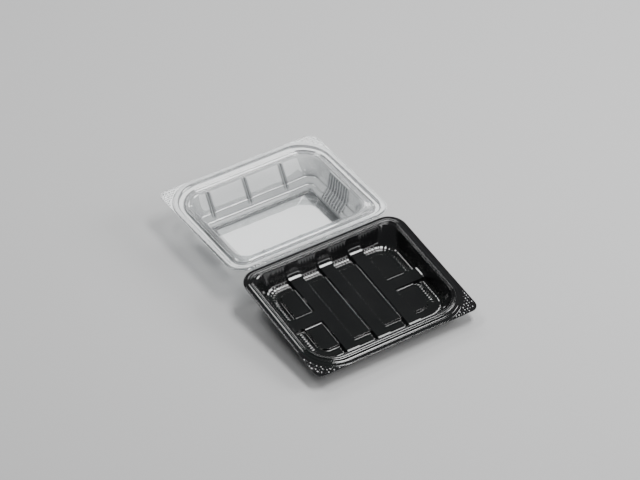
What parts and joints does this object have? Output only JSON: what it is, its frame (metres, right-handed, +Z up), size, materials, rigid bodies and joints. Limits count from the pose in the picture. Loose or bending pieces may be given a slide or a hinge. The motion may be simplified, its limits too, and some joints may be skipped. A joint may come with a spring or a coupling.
{
  "type": "hinged takeaway meal container",
  "caption": "Open takeaway meal container: a shallow black tray with a raised panel floor and a deeper clear lid, formed as one sheet, with snap rims and a living hinge between them.",
  "frame": {"origin": "under the middle of the open container, on the table that it stands on", "axes": "+X along the hinge, +Y from the tray toward the lid, +Z up"},
  "size_m": [0.16, 0.2572, 0.03],
  "materials": {
    "tray": "glossy black formed plastic",
    "lid": "clear glossy formed plastic"
  },
  "bodies": {
    "tray": {"tray": "tray"},
    "lid": {"lid": "lid"}
  },
  "joints": [
    {"name": "lid_hinge", "type": "hinge", "parent": "tray", "child": "lid", "pos_m": [0, -0.00057, 0.03], "axis": [1, 0, 0], "range_deg": [0, 187.4]}
  ]
}
